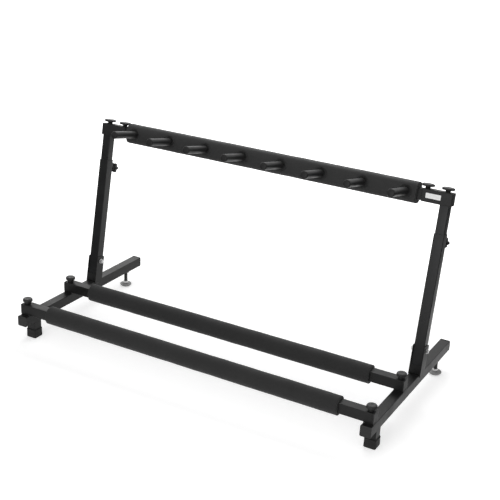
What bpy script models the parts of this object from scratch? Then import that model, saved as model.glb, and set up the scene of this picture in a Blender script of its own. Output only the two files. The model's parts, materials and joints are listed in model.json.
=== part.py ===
"""A free-standing folding rack for rackets: two floor legs, two padded lower bars, and a leaning
telescopic frame that carries a padded top rail with a row of padded pegs.

Metres, +Z up. +X runs along the bars to the right and +Y to the back. The origin is on the floor
under the middle of the rack. Pieces of the leaning frame are laid out in the frame's own axes:
X as above, Y to the back square to the frame, and Z up along the uprights from the fold pivot."""

import math

import bmesh
import bpy
from mathutils import Matrix, Vector

# Clearance between neighbouring pieces, and the square steel tube of the legs, bars and outer uprights
GAP = 0.0003
TUBE_SIDE = 0.026
WALL = 0.0012
TUBE_CORNER = 0.0014

# Floor legs: square tubes that run front to back
LEG_X = 0.4817
LEG_SIDE = TUBE_SIDE
LEG_LENGTH = 0.5046
LEG_BOTTOM = 0.046
LEG_TOP = LEG_BOTTOM + LEG_SIDE
LEG_FRONT = -LEG_LENGTH / 2
CAP_SIDE = 0.0274
CAP_FLANGE = 0.003
CAP_DEPTH = 0.012

# Lower bars: square tubes that lie across the legs on low pads
BAR_SIDE = TUBE_SIDE
BAR_HALF = 0.4905
BAR_FRONT_Y = -0.2309
BAR_REAR_Y = -0.0560
PAD_SIDE = 0.024
PAD_TOP = LEG_TOP + 0.0031
BAR_Z = PAD_TOP + GAP + BAR_SIDE / 2
BAR_TOP = BAR_Z + BAR_SIDE / 2
PLUG_FLANGE = 0.0031
PLUG_DEPTH = 0.003
BAR_FOAM_HALF = 0.407
BAR_FOAM_RADIUS = 0.023
FOAM_HOLE_CORNER = 0.001

# Clamp knobs over the bar ends, each with an M8 stud down into a nut in the leg
CLAMP_STUD = 0.004
CLAMP_REACH = 0.043
CLAMP_RIM = 0.0126
CLAMP_HEIGHT = 0.0142
CLAMP_NUT = 0.0065

# Feet: a short steel post in a rubber cap in front, and a levelling foot behind
POST_Y = -0.2082
POST_SIDE = LEG_SIDE - 0.0002
POST_BOTTOM = 0.005
POST_TOP = LEG_BOTTOM + 0.001
FOOT_CAP_WIDTH = 0.0295
FOOT_CAP_LENGTH = 0.030
FOOT_CAP_HEIGHT = 0.0235
LEVEL_Y = 0.200
LEVEL_STUD = 0.005
LEVEL_STUD_FOOT = 0.005
LEVEL_STUD_TOP = 0.064
LEVEL_DISC = 0.0165
LEVEL_SOLE = 0.0125
LEVEL_HUB = 0.0072
LEVEL_NUT_HEIGHT = 0.005

# Leaning frame and its pivot
LEAN = math.radians(10)
UPRIGHT_FOOT_Y = 0.0488
PIVOT_UP = 0.056
PIVOT = Vector((0, UPRIGHT_FOOT_Y + PIVOT_UP * math.sin(LEAN), LEG_TOP + PIVOT_UP * math.cos(LEAN)))
PIVOT_BOLT = 0.003
PIVOT_HEAD = 0.0058
PIVOT_FLANGE = 0.0066
HINGE_INSIDE = 0.0133
HINGE_OUTSIDE = 0.0153
HINGE_DEPTH = 0.015
HINGE_TOP = 0.013
HINGE_BOTTOM = -0.0625
HINGE_WEB_TOP = -0.0365
HINGE_PLATE = 0.003
HINGE_PLATE_DEPTH = 0.016

# Uprights, measured up from the pivot
OUTER_SIDE = TUBE_SIDE
OUTER_BOTTOM = -0.0475
OUTER_TOP = 0.2855
INNER_SIDE = OUTER_SIDE - 2 * WALL - 2 * GAP
INNER_BOTTOM = 0.1335
INNER_TOP = 0.3675
HEIGHT_KNOB_UP = 0.2605
HEIGHT_STUD = 0.003
HEIGHT_BOSS = 0.007
HEIGHT_BOSS_END = 0.021
HEIGHT_KNOB_NEAR = 0.031
HEIGHT_KNOB_FAR = 0.042

# Top rail and the corner sleeves that join it to the uprights
RAIL_UP = 0.369
RAIL_HEIGHT = 0.0274
RAIL_DEPTH = 0.0214
RAIL_HALF = 0.463
CORNER_INNER = 0.423
CORNER_OUTER = 0.498
CORNER_HEIGHT = 0.031
CORNER_DEPTH = 0.026
CORNER_SOCKET_END = 0.466
RAIL_FOAM_HALF = 0.412
RAIL_FOAM_HEIGHT = 0.0524
RAIL_FOAM_RISE = 0.001
RAIL_FOAM_DEPTH = 0.041
RAIL_FOAM_CORNER = 0.017
RAIL_KNOB_X = 0.4325
TOP_STUD = 0.003
TOP_KNOB_RIM = 0.0156
TOP_KNOB_HEIGHT = 0.0112

# Pegs: steel rods welded to the rail, each in a foam sleeve
PEG_COUNT = 8
PEG_SPACING = 0.110
PEG_RAISE = 0.0015
PEG_TILT = math.radians(1.6)
PEG_ROD = 0.005
PEG_ROD_LENGTH = 0.098
PEG_FOAM_RADIUS = 0.00975
PEG_FOAM_START = 0.0108
PEG_FOAM_END = 0.105

ALONG_X = Matrix.Rotation(math.pi / 2, 4, "Y")
ALONG_Y = Matrix.Rotation(-math.pi / 2, 4, "X")
FLIP = Matrix.Rotation(math.pi, 4, "Z")
ROUND = 20


def clear_scene():
    for obj in list(bpy.data.objects):
        bpy.data.objects.remove(obj)


def material(name, colour, roughness, metallic=0.0):
    new = bpy.data.materials.new(name)
    new.use_nodes = True
    shader = new.node_tree.nodes["Principled BSDF"]
    shader.inputs["Base Color"].default_value = (*colour, 1)
    shader.inputs["Roughness"].default_value = roughness
    shader.inputs["Metallic"].default_value = metallic
    return new


# Shapes, each returned as a mesh


def welded(mesh):
    """Joins doubled points and points every face outwards."""
    shape = bmesh.new()
    shape.from_mesh(mesh)
    bmesh.ops.remove_doubles(shape, verts=shape.verts, dist=0.000005)
    bmesh.ops.recalc_face_normals(shape, faces=shape.faces)
    shape.to_mesh(mesh)
    shape.free()
    return mesh


def stand(mesh):
    """Puts a mesh in the scene for as long as a modifier needs it."""
    obj = bpy.data.objects.new("working", mesh)
    bpy.context.scene.collection.objects.link(obj)
    return obj


def baked(obj):
    """The mesh that an object evaluates to. The object is removed."""
    bpy.context.view_layer.update()
    graph = bpy.context.evaluated_depsgraph_get()
    mesh = bpy.data.meshes.new_from_object(obj.evaluated_get(graph))
    mesh.transform(obj.matrix_world)
    bpy.data.objects.remove(obj)
    return welded(mesh)


def moved(mesh, matrix):
    mesh.transform(matrix)
    return mesh


def box(low, high):
    shape = bmesh.new()
    bmesh.ops.create_cube(shape, size=1)
    size = Vector(high) - Vector(low)
    middle = (Vector(high) + Vector(low)) / 2
    bmesh.ops.scale(shape, vec=size, verts=shape.verts)
    bmesh.ops.translate(shape, vec=middle, verts=shape.verts)
    mesh = bpy.data.meshes.new("box")
    shape.to_mesh(mesh)
    shape.free()
    return mesh


def rod(radius, bottom, top, sides=ROUND):
    """A cylinder up the Z axis. With six sides it is a hexagon, and radius is then to its corners."""
    shape = bmesh.new()
    bmesh.ops.create_cone(
        shape, cap_ends=True, segments=sides, radius1=radius, radius2=radius, depth=top - bottom
    )
    bmesh.ops.translate(shape, vec=(0, 0, (top + bottom) / 2), verts=shape.verts)
    mesh = bpy.data.meshes.new("rod")
    shape.to_mesh(mesh)
    shape.free()
    return mesh


def rounded_rectangle(width, height, radius, steps=2):
    """The outline of a rectangle about the origin, with an arc at each corner."""
    points = []
    for corner, (side_x, side_y) in enumerate(((1, 1), (-1, 1), (-1, -1), (1, -1))):
        for step in range(steps + 1):
            angle = math.pi / 2 * (corner + step / steps)
            x = side_x * (width / 2 - radius) + radius * math.cos(angle)
            y = side_y * (height / 2 - radius) + radius * math.sin(angle)
            points.append((x, y))
    return points


def circle(radius, steps=40):
    angles = [2 * math.pi * step / steps for step in range(steps)]
    return [(radius * math.cos(angle), radius * math.sin(angle)) for angle in angles]


def prism(outlines, bottom, top):
    """A flat outline drawn up the Z axis. Outlines after the first are holes through it."""
    curve = bpy.data.curves.new("outline", "CURVE")
    curve.dimensions = "2D"
    curve.fill_mode = "BOTH"
    curve.extrude = (top - bottom) / 2
    for outline in outlines:
        spline = curve.splines.new("POLY")
        spline.points.add(len(outline) - 1)
        spline.use_cyclic_u = True
        for point, place in zip(spline.points, outline):
            point.co = (*place, 0, 1)
    obj = bpy.data.objects.new("outline", curve)
    obj.location.z = (top + bottom) / 2
    bpy.context.scene.collection.objects.link(obj)
    return baked(obj)


def square_tube(width, height, half_length):
    """A hollow rectangular tube along the Z axis, centred on the origin."""
    outer = rounded_rectangle(width, height, TUBE_CORNER)
    inner = rounded_rectangle(width - 2 * WALL, height - 2 * WALL, TUBE_CORNER / 4, steps=1)
    return prism([outer, inner], -half_length, half_length)


def turned(profile, steps=ROUND):
    """A profile of (radius, height) points, listed from the top down its outer side, turned round Z."""
    shape = bmesh.new()
    points = [shape.verts.new((radius, 0, height)) for radius, height in profile]
    for start, end in zip(points, points[1:]):
        shape.edges.new((start, end))
    if profile[0][0] > 0:
        shape.edges.new((points[-1], points[0]))
    mesh = bpy.data.meshes.new("profile")
    shape.to_mesh(mesh)
    shape.free()
    obj = stand(mesh)
    screw = obj.modifiers.new("Turn", "SCREW")
    screw.steps = steps
    screw.render_steps = steps
    screw.use_merge_vertices = True
    screw.merge_threshold = 0.00001
    return baked(obj)


def bevelled(mesh, width, segments=2, sharper_than=40):
    """Rounds the edges that turn by more than the given number of degrees."""
    obj = stand(mesh)
    bevel = obj.modifiers.new("Bevel", "BEVEL")
    bevel.width = width
    bevel.segments = segments
    bevel.limit_method = "ANGLE"
    bevel.angle_limit = math.radians(sharper_than)
    return baked(obj)


def boolean(mesh, others, operation):
    obj = stand(mesh)
    helpers = [stand(other) for other in others]
    for helper in helpers:
        modifier = obj.modifiers.new(operation.title(), "BOOLEAN")
        modifier.operation = operation
        modifier.solver = "EXACT"
        modifier.object = helper
    result = baked(obj)
    for helper in helpers:
        bpy.data.objects.remove(helper)
    return result


def fused(mesh, *others):
    return boolean(mesh, others, "UNION")


def cut(mesh, *others):
    return boolean(mesh, others, "DIFFERENCE")


def flutes(count, distance, radius, bottom, top):
    """Upright cylinders in a ring, to cut grip flutes into a knob's rim."""
    places = [Matrix.Rotation(2 * math.pi * index / count, 4, "Z") for index in range(count)]
    shift = Matrix.Translation((distance, 0, 0))
    return [moved(rod(radius, bottom, top, sides=8), turn @ shift) for turn in places]


# Placing pieces


def place(name, mesh, look, matrix, parent=None):
    """Adds a finished piece. Under a parent, the matrix is in the parent's axes."""
    obj = bpy.data.objects.new(name, mesh)
    rack.objects.link(obj)
    obj.parent = parent
    obj.matrix_local = matrix
    if not mesh.materials:
        mesh.materials.append(look)
        mesh.shade_smooth()
        mesh.set_sharp_from_angle(angle=math.radians(35))
    return obj


def axis_empty(name, matrix, parent=None):
    empty = bpy.data.objects.new(name, None)
    empty.empty_display_size = 0.03
    rack.objects.link(empty)
    empty.parent = parent
    empty.matrix_local = matrix
    return empty


def both_sides():
    """Left, then right, with the sign of its X."""
    return (("left", -1), ("right", 1))


def at(x, y, z):
    return Matrix.Translation((x, y, z))


# Floor legs and what is on them


def hinge_bracket():
    """Two cheeks that lean with the upright, joined by a low front web and a plate on the leg."""
    tall = HINGE_TOP - HINGE_BOTTOM
    outline = rounded_rectangle(2 * HINGE_DEPTH, tall, 0.003)
    thickness = HINGE_OUTSIDE - HINGE_INSIDE
    lean = Matrix.Rotation(-LEAN, 4, "X")
    at_pivot = Matrix.Translation(PIVOT)
    middle = (HINGE_TOP + HINGE_BOTTOM) / 2
    pieces = []
    for side in (-1, 1):
        cheek = prism([outline], -thickness / 2, thickness / 2)
        upright = Matrix.Rotation(math.pi / 2, 4, "Z") @ Matrix.Rotation(math.pi / 2, 4, "X")
        out = side * (HINGE_INSIDE + thickness / 2)
        pieces.append(moved(cheek, at_pivot @ lean @ at(out, 0, middle) @ upright))
    web_half = HINGE_OUTSIDE - thickness / 2
    web = box(
        (-web_half, -HINGE_DEPTH + GAP / 2, HINGE_BOTTOM + 0.004),
        (web_half, -OUTER_SIDE / 2 - GAP, HINGE_WEB_TOP),
    )
    pieces.append(moved(web, at_pivot @ lean))
    plate_half = HINGE_OUTSIDE - thickness / 4
    plate = box(
        (-plate_half, UPRIGHT_FOOT_Y - HINGE_PLATE_DEPTH, LEG_TOP - GAP),
        (plate_half, UPRIGHT_FOOT_Y + HINGE_PLATE_DEPTH, LEG_TOP + HINGE_PLATE),
    )
    pieces.append(plate)
    return pieces


def leg_mesh():
    """Leg tube with its front post, bar pads, the hinge bracket, and threaded nuts welded inside."""
    tube = moved(square_tube(LEG_SIDE, LEG_SIDE, LEG_LENGTH / 2), ALONG_Y)
    tube = moved(tube, at(0, 0, LEG_BOTTOM + LEG_SIDE / 2))
    post_half = (POST_TOP - POST_BOTTOM) / 2
    post = square_tube(POST_SIDE, POST_SIDE, post_half)
    added = [moved(post, at(0, POST_Y, POST_BOTTOM + post_half)), *hinge_bracket()]
    holes = []
    for bar_y in (BAR_FRONT_Y, BAR_REAR_Y):
        low = (-PAD_SIDE / 2, bar_y - PAD_SIDE / 2, LEG_TOP - GAP)
        high = (PAD_SIDE / 2, bar_y + PAD_SIDE / 2, PAD_TOP)
        added.append(box(low, high))
        nut = rod(CLAMP_NUT, LEG_TOP - 0.0065, LEG_TOP - WALL + GAP, sides=6)
        added.append(moved(nut, at(0, bar_y, 0)))
        hole = rod(CLAMP_STUD + GAP, LEG_TOP - 0.01, PAD_TOP + 0.002)
        holes.append(moved(hole, at(0, bar_y, 0)))
    level_nut = rod(0.0085, LEG_BOTTOM + WALL - GAP, LEG_BOTTOM + 0.007, sides=6)
    added.append(moved(level_nut, at(0, LEVEL_Y, 0)))
    holes.append(moved(rod(LEVEL_STUD + GAP, 0.04, 0.058), at(0, LEVEL_Y, 0)))
    bolt_hole = moved(rod(PIVOT_BOLT + GAP, -0.02, 0.02), Matrix.Translation(PIVOT) @ ALONG_X)
    holes.append(bolt_hole)
    return cut(fused(tube, *added), *holes)


def leg_cap_mesh():
    """A push-in plug for a leg's end. Its flange faces +Z."""
    inside = LEG_SIDE - 2 * WALL - 2 * GAP
    flange = prism([rounded_rectangle(CAP_SIDE, CAP_SIDE, 0.003)], 0, CAP_FLANGE)
    flange = bevelled(flange, 0.0009)
    body = prism([rounded_rectangle(inside, inside, TUBE_CORNER)], -CAP_DEPTH, 0.0005)
    return fused(flange, body)


def foot_cap_mesh():
    """Rubber cap with a square socket for the post."""
    outline = rounded_rectangle(FOOT_CAP_WIDTH, FOOT_CAP_LENGTH, 0.003, steps=3)
    cap = bevelled(prism([outline], 0, FOOT_CAP_HEIGHT), 0.001)
    half = POST_SIDE / 2 + GAP
    socket = box((-half, -half, POST_BOTTOM - GAP), (half, half, FOOT_CAP_HEIGHT + 0.001))
    return cut(cap, socket)


def level_disc_mesh():
    """Thick moulded disc on a narrower sole, with a hub that holds the stud's foot."""
    socket = LEVEL_STUD + GAP
    profile = [
        (0, LEVEL_STUD_FOOT - GAP),
        (socket, LEVEL_STUD_FOOT - GAP),
        (socket, 0.0146),
        (LEVEL_HUB - 0.0006, 0.0146),
        (LEVEL_HUB, 0.0138),
        (LEVEL_HUB, 0.0082),
        (LEVEL_DISC - 0.0035, 0.0078),
        (LEVEL_DISC, 0.0064),
        (LEVEL_DISC, 0.0042),
        (LEVEL_SOLE, 0),
        (0, 0),
    ]
    return turned(profile, steps=24)


def level_nut_mesh():
    nut = rod(0.0092, 0, LEVEL_NUT_HEIGHT, sides=6)
    return cut(nut, rod(LEVEL_STUD + GAP, -0.001, LEVEL_NUT_HEIGHT + 0.001))


def build_legs():
    leg = leg_mesh()
    cap = leg_cap_mesh()
    foot_cap = foot_cap_mesh()
    disc = level_disc_mesh()
    stud = bevelled(rod(LEVEL_STUD, LEVEL_STUD_FOOT, LEVEL_STUD_TOP), 0.0006, segments=1)
    nut = level_nut_mesh()
    for side, sign in both_sides():
        x = sign * LEG_X
        place(f"leg_{side}", leg, powder_coat, at(x, 0, 0))
        middle = LEG_BOTTOM + LEG_SIDE / 2
        end = LEG_LENGTH / 2 + GAP
        facing_back = at(x, end, middle) @ ALONG_Y
        place(f"leg_cap_rear_{side}", cap, plastic, facing_back)
        place(f"leg_cap_front_{side}", cap, plastic, at(x, -end, middle) @ FLIP @ ALONG_Y)
        place(f"foot_cap_{side}", foot_cap, rubber, at(x, POST_Y, 0))
        place(f"level_disc_{side}", disc, grey_nylon, at(x, LEVEL_Y, 0))
        place(f"level_stud_{side}", stud, dark_steel, at(x, LEVEL_Y, 0))
        nut_bottom = LEG_BOTTOM - GAP - LEVEL_NUT_HEIGHT
        place(f"level_nut_{side}", nut, dark_steel, at(x, LEVEL_Y, nut_bottom))


# Lower bars


def bar_mesh():
    tube = moved(square_tube(BAR_SIDE, BAR_SIDE, BAR_HALF), ALONG_X)
    holes = [
        moved(rod(CLAMP_STUD + GAP, -BAR_SIDE, BAR_SIDE), at(sign * LEG_X, 0, 0))
        for _, sign in both_sides()
    ]
    return cut(tube, *holes)


def bar_plug_mesh():
    """A shallow plug, short enough to clear the clamp stud. Its flange faces +Z."""
    inside = BAR_SIDE - 2 * WALL - 2 * GAP
    flange = prism([rounded_rectangle(BAR_SIDE, BAR_SIDE, TUBE_CORNER)], GAP, GAP + PLUG_FLANGE)
    flange = bevelled(flange, 0.0008)
    body = prism([rounded_rectangle(inside, inside, TUBE_CORNER)], -PLUG_DEPTH, 2 * GAP)
    return fused(flange, body)


def bar_foam_mesh():
    hole = rounded_rectangle(BAR_SIDE + 2 * GAP, BAR_SIDE + 2 * GAP, FOAM_HOLE_CORNER, steps=1)
    return moved(prism([circle(BAR_FOAM_RADIUS), hole], -BAR_FOAM_HALF, BAR_FOAM_HALF), ALONG_X)


def clamp_knob_mesh():
    """Round knob on a neck, with a stud below. Its seat is at Z = 0."""
    neck = 0.0082
    profile = [
        (0, CLAMP_HEIGHT),
        (0.0088, CLAMP_HEIGHT),
        (0.0112, 0.0135),
        (0.0122, 0.0122),
        (CLAMP_RIM, 0.0101),
        (CLAMP_RIM, 0.0076),
        (0.0120, 0.0065),
        (neck, 0.0059),
        (neck, 0),
        (CLAMP_STUD, 0),
        (CLAMP_STUD, 0.0006 - CLAMP_REACH),
        (CLAMP_STUD - 0.0006, -CLAMP_REACH),
        (0, -CLAMP_REACH),
    ]
    return cut(turned(profile), *flutes(10, CLAMP_RIM + 0.0012, 0.0020, 0.005, CLAMP_HEIGHT - 0.001))


def build_bars():
    bar = bar_mesh()
    plug = bar_plug_mesh()
    foam = bar_foam_mesh()
    knob = clamp_knob_mesh()
    for row, y in (("front", BAR_FRONT_Y), ("rear", BAR_REAR_Y)):
        place(f"bar_{row}", bar, powder_coat, at(0, y, BAR_Z))
        place(f"bar_foam_{row}", foam, foam_rubber, at(0, y, BAR_Z))
        for side, sign in both_sides():
            turn = ALONG_X if sign > 0 else FLIP @ ALONG_X
            place(f"bar_plug_{row}_{side}", plug, plastic, at(sign * BAR_HALF, y, BAR_Z) @ turn)
            seat = at(sign * LEG_X, y, BAR_TOP + GAP)
            place(f"clamp_knob_{row}_{side}", knob, plastic, seat)


# Fold pivot


def pivot_bolt_mesh():
    """Flanged hexagon bolt. The flange's underside is at Z = 0 and the head is above it."""
    reach = 2 * HINGE_OUTSIDE + 0.0086
    shank = bevelled(rod(PIVOT_BOLT, -reach, 0.0005), 0.0006, segments=1)
    return fused(rod(PIVOT_FLANGE, 0, 0.0014), rod(PIVOT_HEAD, 0.0010, 0.0052, sides=6), shank)


def pivot_nut_mesh():
    """Flanged lock nut, with its flange at Z = 0 and its body above."""
    nut = fused(rod(PIVOT_FLANGE, 0, 0.0014), rod(PIVOT_HEAD, 0.0010, 0.0062, sides=6))
    return cut(nut, rod(PIVOT_BOLT + GAP, -0.001, 0.007))


def build_pivots():
    bolt = pivot_bolt_mesh()
    nut = pivot_nut_mesh()
    seat = HINGE_OUTSIDE + GAP
    for side, sign in both_sides():
        outward = ALONG_X if sign > 0 else FLIP @ ALONG_X
        inward = FLIP @ outward
        bolt_at = Matrix.Translation(PIVOT) @ at(sign * (LEG_X + seat), 0, 0)
        nut_at = Matrix.Translation(PIVOT) @ at(sign * (LEG_X - seat), 0, 0)
        place(f"pivot_bolt_{side}", bolt, zinc, bolt_at @ outward)
        place(f"pivot_nut_{side}", nut, zinc, nut_at @ inward)


# Folding uprights, in the leaning frame's axes


def outer_upright_mesh():
    """Outer tube with its pivot hole and the threaded boss of the height knob."""
    half = (OUTER_TOP - OUTER_BOTTOM) / 2
    tube = moved(square_tube(OUTER_SIDE, OUTER_SIDE, half), at(0, 0, OUTER_BOTTOM + half))
    boss = moved(rod(HEIGHT_BOSS, OUTER_SIDE / 2 - GAP, HEIGHT_BOSS_END), ALONG_Y)
    boss = moved(boss, at(0, 0, HEIGHT_KNOB_UP))
    knob_hole = moved(rod(HEIGHT_STUD + GAP, 0.009, HEIGHT_BOSS_END + 0.001), ALONG_Y)
    knob_hole = moved(knob_hole, at(0, 0, HEIGHT_KNOB_UP))
    pivot_hole = moved(rod(PIVOT_BOLT + GAP, -OUTER_SIDE, OUTER_SIDE), ALONG_X)
    return cut(fused(tube, boss), knob_hole, pivot_hole)


def upright_plug_mesh():
    """Plug for the lower end of an outer upright. Its flange faces down."""
    inside = OUTER_SIDE - 2 * WALL - 2 * GAP
    top = OUTER_BOTTOM - GAP
    flange = prism([rounded_rectangle(OUTER_SIDE, OUTER_SIDE, TUBE_CORNER)], top - 0.002, top)
    body = prism([rounded_rectangle(inside, inside, TUBE_CORNER)], top - 0.0005, top + 0.008)
    return fused(bevelled(flange, 0.0006), body)


def height_knob_mesh():
    """Six-lobed knob on a hub, with a stud towards -Z. Z = 0 is the upright's centre line."""
    lobes = 6
    steps = 6 * lobes
    points = []
    for step in range(steps):
        angle = 2 * math.pi * step / steps
        radius = 0.0124 + 0.0018 * math.cos(lobes * angle)
        points.append((radius * math.cos(angle), radius * math.sin(angle)))
    grip = bevelled(prism([points], HEIGHT_KNOB_NEAR, HEIGHT_KNOB_FAR), 0.0014)
    hub = rod(0.0072, HEIGHT_KNOB_NEAR - 0.006, HEIGHT_KNOB_NEAR + 0.002)
    stud = rod(HEIGHT_STUD, INNER_SIDE / 2 + GAP, HEIGHT_KNOB_NEAR)
    return fused(grip, hub, stud)


def build_frame(fold_axis):
    tube = outer_upright_mesh()
    plug = upright_plug_mesh()
    knob = height_knob_mesh()
    for side, sign in both_sides():
        x = sign * LEG_X
        place(f"upright_outer_{side}", tube, powder_coat, at(x, 0, 0), fold_axis)
        place(f"upright_plug_{side}", plug, plastic, at(x, 0, 0), fold_axis)
        knob_at = at(x, 0, HEIGHT_KNOB_UP) @ ALONG_Y
        place(f"height_knob_{side}", knob, plastic, knob_at, fold_axis)


# Sliding head: inner uprights, corners, rail and pegs, in the leaning frame's axes


def inner_upright_mesh():
    half = (INNER_TOP - INNER_BOTTOM) / 2
    return moved(square_tube(INNER_SIDE, INNER_SIDE, half), at(0, 0, INNER_BOTTOM + half))


def top_plug_mesh():
    """Threaded plug in the top of an inner upright."""
    side = INNER_SIDE - 2 * WALL - 2 * GAP
    plug = prism([rounded_rectangle(side, side, TUBE_CORNER)], INNER_TOP - 0.02, INNER_TOP)
    return cut(plug, rod(TOP_STUD + GAP, INNER_TOP - 0.021, INNER_TOP + 0.001))


def corner_mesh():
    """Right-hand corner: a sleeve over the rail's end, on a socket over the upright's top."""
    low = RAIL_UP - CORNER_HEIGHT / 2
    high = RAIL_UP + CORNER_HEIGHT / 2
    half_depth = CORNER_DEPTH / 2
    body = box((CORNER_INNER, -half_depth, low), (CORNER_OUTER, half_depth, high))
    body = bevelled(body, 0.0016)
    reach = RAIL_DEPTH / 2 + GAP
    rise = RAIL_HEIGHT / 2 + GAP
    sleeve = box(
        (CORNER_INNER - 0.01, -reach, RAIL_UP - rise), (CORNER_SOCKET_END, reach, RAIL_UP + rise)
    )
    half = INNER_SIDE / 2 + GAP
    socket = box((LEG_X - half, -half, low - 0.01), (LEG_X + half, half, INNER_TOP + GAP))
    rail_screw = moved(rod(TOP_STUD + GAP, RAIL_UP, high + 0.001), at(RAIL_KNOB_X, 0, 0))
    corner_screw = moved(rod(TOP_STUD + GAP, INNER_TOP, high + 0.001), at(LEG_X, 0, 0))
    return cut(body, sleeve, socket, rail_screw, corner_screw)


def peg_places():
    """The axis of each peg: +Z leaves the rail's front face, tilted up a little."""
    forward = Matrix.Rotation(math.pi / 2, 4, "X")
    tilted = Matrix.Rotation(-PEG_TILT, 4, "X") @ forward
    first = -PEG_SPACING * (PEG_COUNT - 1) / 2
    return [
        at(first + PEG_SPACING * index, -RAIL_DEPTH / 2, RAIL_UP + PEG_RAISE) @ tilted
        for index in range(PEG_COUNT)
    ]


def rail_mesh():
    """Rail tube with the peg rods welded to its front."""
    tube = moved(square_tube(RAIL_HEIGHT, RAIL_DEPTH, RAIL_HALF), ALONG_X)
    tube = moved(tube, at(0, 0, RAIL_UP))
    pegs = [moved(rod(PEG_ROD, -WALL / 2, PEG_ROD_LENGTH, sides=16), axis) for axis in peg_places()]
    screws = [
        moved(rod(TOP_STUD + GAP, RAIL_UP + 0.005, RAIL_UP + 0.02), at(sign * RAIL_KNOB_X, 0, 0))
        for _, sign in both_sides()
    ]
    return cut(fused(tube, *pegs), *screws)


def rail_foam_mesh():
    """The rail's sleeve, a little thicker above the rail than below it."""
    section = rounded_rectangle(RAIL_FOAM_HEIGHT, RAIL_FOAM_DEPTH, RAIL_FOAM_CORNER, steps=5)
    outer = [(down - RAIL_FOAM_RISE, across) for down, across in section]
    inner = rounded_rectangle(
        RAIL_HEIGHT + 2 * GAP, RAIL_DEPTH + 2 * GAP, FOAM_HOLE_CORNER, steps=1
    )
    foam = moved(prism([outer, inner], -RAIL_FOAM_HALF, RAIL_FOAM_HALF), ALONG_X)
    foam = moved(foam, at(0, 0, RAIL_UP))
    holes = [moved(rod(PEG_ROD + GAP, -0.004, 0.02, sides=16), axis) for axis in peg_places()]
    return cut(foam, *holes)


def peg_foam_mesh():
    """Closed-ended foam sleeve, with its open end towards the rail."""
    bore = PEG_ROD + GAP
    bore_end = PEG_ROD_LENGTH + GAP
    shoulder = 0.0028
    profile = [
        (0, PEG_FOAM_END),
        (0.0072, PEG_FOAM_END - 0.0003),
        (0.0090, PEG_FOAM_END - 0.0011),
        (PEG_FOAM_RADIUS, PEG_FOAM_END - shoulder),
        (PEG_FOAM_RADIUS, PEG_FOAM_START + 0.0008),
        (PEG_FOAM_RADIUS - 0.0008, PEG_FOAM_START),
        (bore, PEG_FOAM_START),
        (bore, bore_end),
        (0, bore_end),
    ]
    return turned(profile)


def top_knob_mesh(reach):
    """Broad knob on a short, waisted stem, with a stud of the given reach. Its seat is at Z = 0."""
    profile = [
        (0, TOP_KNOB_HEIGHT),
        (0.0132, TOP_KNOB_HEIGHT),
        (0.0150, 0.0102),
        (TOP_KNOB_RIM, 0.0088),
        (TOP_KNOB_RIM, 0.0068),
        (0.0148, 0.0056),
        (0.0085, 0.0050),
        (0.0062, 0.0036),
        (0.0056, 0),
        (TOP_STUD, 0),
        (TOP_STUD, 0.0005 - reach),
        (TOP_STUD - 0.0005, -reach),
        (0, -reach),
    ]
    return cut(turned(profile), *flutes(12, TOP_KNOB_RIM + 0.001, 0.0018, 0.002, TOP_KNOB_HEIGHT + 0.001))


def build_head(height_slide):
    tube = inner_upright_mesh()
    plug = top_plug_mesh()
    corner = corner_mesh()
    seat = RAIL_UP + CORNER_HEIGHT / 2 + GAP
    corner_knob = top_knob_mesh(seat - INNER_TOP + 0.014)
    rail_knob = top_knob_mesh(0.011)
    for side, sign in both_sides():
        x = sign * LEG_X
        place(f"upright_inner_{side}", tube, powder_coat, at(x, 0, 0), height_slide)
        place(f"top_plug_{side}", plug, plastic, at(x, 0, 0), height_slide)
        turn = Matrix.Identity(4) if sign > 0 else FLIP
        place(f"corner_{side}", corner, corner_coat, turn, height_slide)
        place(f"corner_knob_{side}", corner_knob, plastic, at(x, 0, seat), height_slide)
        knob_at = at(sign * RAIL_KNOB_X, 0, seat)
        place(f"rail_knob_{side}", rail_knob, plastic, knob_at, height_slide)
    place("rail", rail_mesh(), powder_coat, Matrix.Identity(4), height_slide)
    place("rail_foam", rail_foam_mesh(), foam_rubber, Matrix.Identity(4), height_slide)
    peg_foam = peg_foam_mesh()
    for number, axis in enumerate(peg_places(), start=1):
        place(f"peg_foam_{number}", peg_foam, foam_rubber, axis, height_slide)


clear_scene()
rack = bpy.data.collections.new("racket_rack")
bpy.context.scene.collection.children.link(rack)

powder_coat = material("powder_coat", (0.021, 0.021, 0.023), 0.42)
corner_coat = material("corner_coat", (0.020, 0.020, 0.021), 0.50)
plastic = material("moulded_plastic", (0.016, 0.016, 0.017), 0.45)
rubber = material("rubber", (0.022, 0.022, 0.022), 0.80)
foam_rubber = material("foam", (0.026, 0.026, 0.027), 0.90)
grey_nylon = material("grey_nylon", (0.22, 0.22, 0.225), 0.45)
zinc = material("zinc_plated_steel", (0.66, 0.66, 0.67), 0.28, metallic=1.0)
dark_steel = material("blackened_steel", (0.05, 0.05, 0.05), 0.40, metallic=1.0)

build_legs()
build_bars()
build_pivots()
fold = axis_empty("fold_axis", Matrix.Translation(PIVOT) @ Matrix.Rotation(-LEAN, 4, "X"))
build_frame(fold)
build_head(axis_empty("height_slide", Matrix.Identity(4), fold))
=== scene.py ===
"""Looks for the racket rack: powder-coated tubes, foam sleeves, moulded knobs, plated fasteners and
the studio around them. Metres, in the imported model's own frame: +X right, +Y back, +Z up."""

import json
import math

import bmesh
import bpy
from mathutils import Matrix, Vector, noise


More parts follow.
